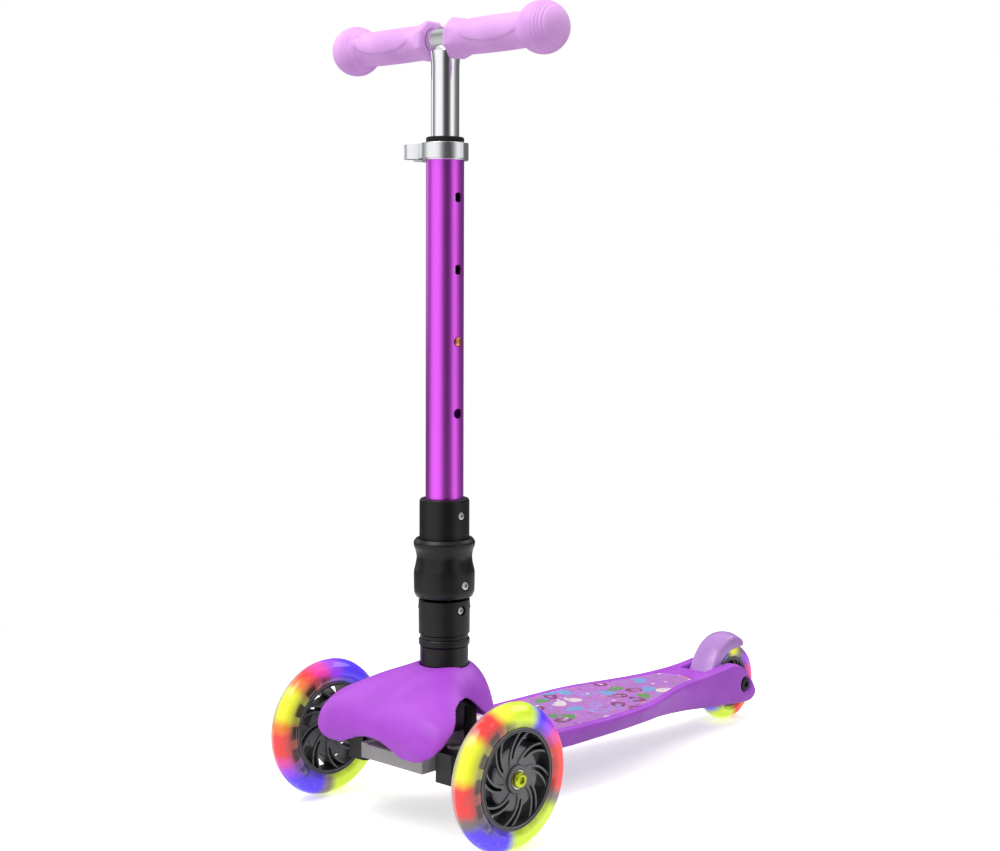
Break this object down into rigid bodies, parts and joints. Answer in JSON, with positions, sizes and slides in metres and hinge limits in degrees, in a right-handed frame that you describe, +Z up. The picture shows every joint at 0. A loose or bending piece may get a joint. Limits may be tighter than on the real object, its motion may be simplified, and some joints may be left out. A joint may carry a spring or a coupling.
{
  "type": "three wheeled kids scooter",
  "caption": "Kick scooter for small children with two front wheels, lean steering, a folding column and a T handlebar that slides up and down.",
  "frame": {"origin": "on the ground, under the middle of the scooter's outer box", "axes": "+Z up, -Y the way it drives, +X the rider's left, the front axle along X"},
  "size_m": [0.2696, 0.543, 0.6823],
  "materials": {
    "purple_plastic": "satin",
    "lilac_plastic": "satin",
    "grip_rubber": "matte",
    "black_plastic": "satin",
    "grey_plastic": "matte",
    "hub_plastic": "satin",
    "clear_tyre": "clear polyurethane",
    "light_plastic": "satin",
    "chrome": "polished",
    "purple_metal": "anodised",
    "steel": "zinc plated",
    "yellow_metal": "yellow passivated",
    "copper": "polished",
    "polished_metal": "polished",
    "panel_film": "printed film",
    "dark_rubber": "matte"
  },
  "bodies": {
    "chassis": {"deck": "purple_plastic", "deck_panel": "panel_film", "deck_screw_left": "steel", "deck_screw_right": "steel", "front_beam": "grey_plastic", "tilt_pin": "steel", "tilt_bumper_left": "dark_rubber", "tilt_bumper_right": "dark_rubber", "kingpin_left": "steel", "kingpin_right": "steel", "rear_axle": "steel", "rear_axle_nut": "steel", "rear_spacer_left": "steel", "rear_spacer_right": "steel", "brake_pin": "steel", "brake_spring": "steel"},
    "stem": {"steering_post": "black_plastic", "front_cover": "purple_plastic", "neck_ring": "black_plastic", "lower_hinge": "black_plastic", "fold_bolt": "steel", "fold_nut": "steel"},
    "left_knuckle": {"knuckle_left": "black_plastic", "axle_bolt_left": "yellow_metal"},
    "right_knuckle": {"knuckle_right": "black_plastic", "axle_bolt_right": "yellow_metal"},
    "link": {"tie_rod": "steel"},
    "left_wheel": {"front_left_tyre": "clear_tyre", "front_left_hub": "hub_plastic", "front_left_light_ring": "light_plastic", "front_left_bearing_outer": "steel", "front_left_bearing_inner": "steel"},
    "right_wheel": {"front_right_tyre": "clear_tyre", "front_right_hub": "hub_plastic", "front_right_light_ring": "light_plastic", "front_right_bearing_outer": "steel", "front_right_bearing_inner": "steel"},
    "back_wheel": {"rear_tyre": "clear_tyre", "rear_hub": "hub_plastic", "rear_light_ring": "light_plastic", "rear_bearing_outer": "steel", "rear_bearing_inner": "steel"},
    "column": {"upper_hinge": "black_plastic", "socket_screw": "steel", "outer_tube": "purple_metal", "tube_bush": "black_plastic", "clamp_collar": "polished_metal", "clamp_bolt": "steel", "clamp_nut": "steel", "lever_pin": "steel"},
    "sleeve": {"lock_sleeve": "black_plastic", "sleeve_screw": "steel"},
    "lever": {"clamp_lever": "polished_metal"},
    "t_bar": {"handlebar_tube": "chrome", "grip_left": "grip_rubber", "grip_right": "grip_rubber", "slide_bush": "black_plastic", "button_spring": "steel"},
    "button": {"snap_button": "copper"},
    "brake": {"brake_fender": "lilac_plastic"}
  },
  "joints": [
    {"name": "lean", "type": "hinge", "parent": "chassis", "child": "stem", "pos_m": [0, -0.1755, 0.076], "axis": [0, 1, 0], "range_deg": [-8, 8], "stiffness_Nm_per_rad": 60, "deforming": ["tilt_bumper_left", "tilt_bumper_right"]},
    {"name": "steer_left", "type": "hinge", "parent": "chassis", "child": "left_knuckle", "pos_m": [0.05, -0.2115, 0.0585], "axis": [0, 0, 1], "range_deg": [-5.9, 5.9]},
    {"name": "steer_right", "type": "hinge", "parent": "chassis", "child": "right_knuckle", "pos_m": [-0.05, -0.2115, 0.0585], "axis": [0, 0, 1], "range_deg": [-5.9, 5.9]},
    {"name": "link_slide", "type": "slide", "parent": "chassis", "child": "link", "axis": [-1, 0, 0], "range_m": [-0.0023, 0.0023]},
    {"name": "left_wheel_spin", "type": "hinge", "parent": "left_knuckle", "child": "left_wheel", "pos_m": [0.112, -0.2115, 0.06], "axis": [1, 0, 0], "continuous": true},
    {"name": "right_wheel_spin", "type": "hinge", "parent": "right_knuckle", "child": "right_wheel", "pos_m": [-0.112, -0.2115, 0.06], "axis": [1, 0, 0], "continuous": true},
    {"name": "rear_wheel_spin", "type": "hinge", "parent": "chassis", "child": "back_wheel", "pos_m": [0, 0.2315, 0.04], "axis": [1, 0, 0], "continuous": true},
    {"name": "fold", "type": "hinge", "parent": "stem", "child": "column", "pos_m": [0, -0.1755, 0.176], "axis": [-1, 0, 0], "range_deg": [0, 90]},
    {"name": "sleeve_slide", "type": "slide", "parent": "column", "child": "sleeve", "axis": [0, 0, 1], "range_m": [0, 0.0316]},
    {"name": "lever_swing", "type": "hinge", "parent": "column", "child": "lever", "pos_m": [-0.02665, -0.1894, 0.5661], "axis": [0, 0, -1], "range_deg": [0, 110]},
    {"name": "bar_height", "type": "slide", "parent": "column", "child": "t_bar", "axis": [0, 0, 1], "range_m": [-0.061, 0.122], "deforming": ["button_spring", "snap_button"]},
    {"name": "button_press", "type": "slide", "parent": "t_bar", "child": "button", "axis": [-1, 0, 0], "range_m": [0, 0.0032], "stiffness_N_per_m": 1500},
    {"name": "brake_press", "type": "hinge", "parent": "chassis", "child": "brake", "pos_m": [0, 0.1805, 0.051], "axis": [-1, 0, 0], "range_deg": [0, 5.5], "stiffness_Nm_per_rad": 4}
  ],
  "couplings": [
    {"joint": "steer_left", "follows": "lean", "ratio": 0.7273},
    {"joint": "steer_right", "follows": "lean", "ratio": 0.7273},
    {"joint": "link_slide", "follows": "lean", "m_per_rad": 0.016},
    {"joint": "sleeve_slide", "follows": "fold", "m_per_rad": 0.02}
  ]
}
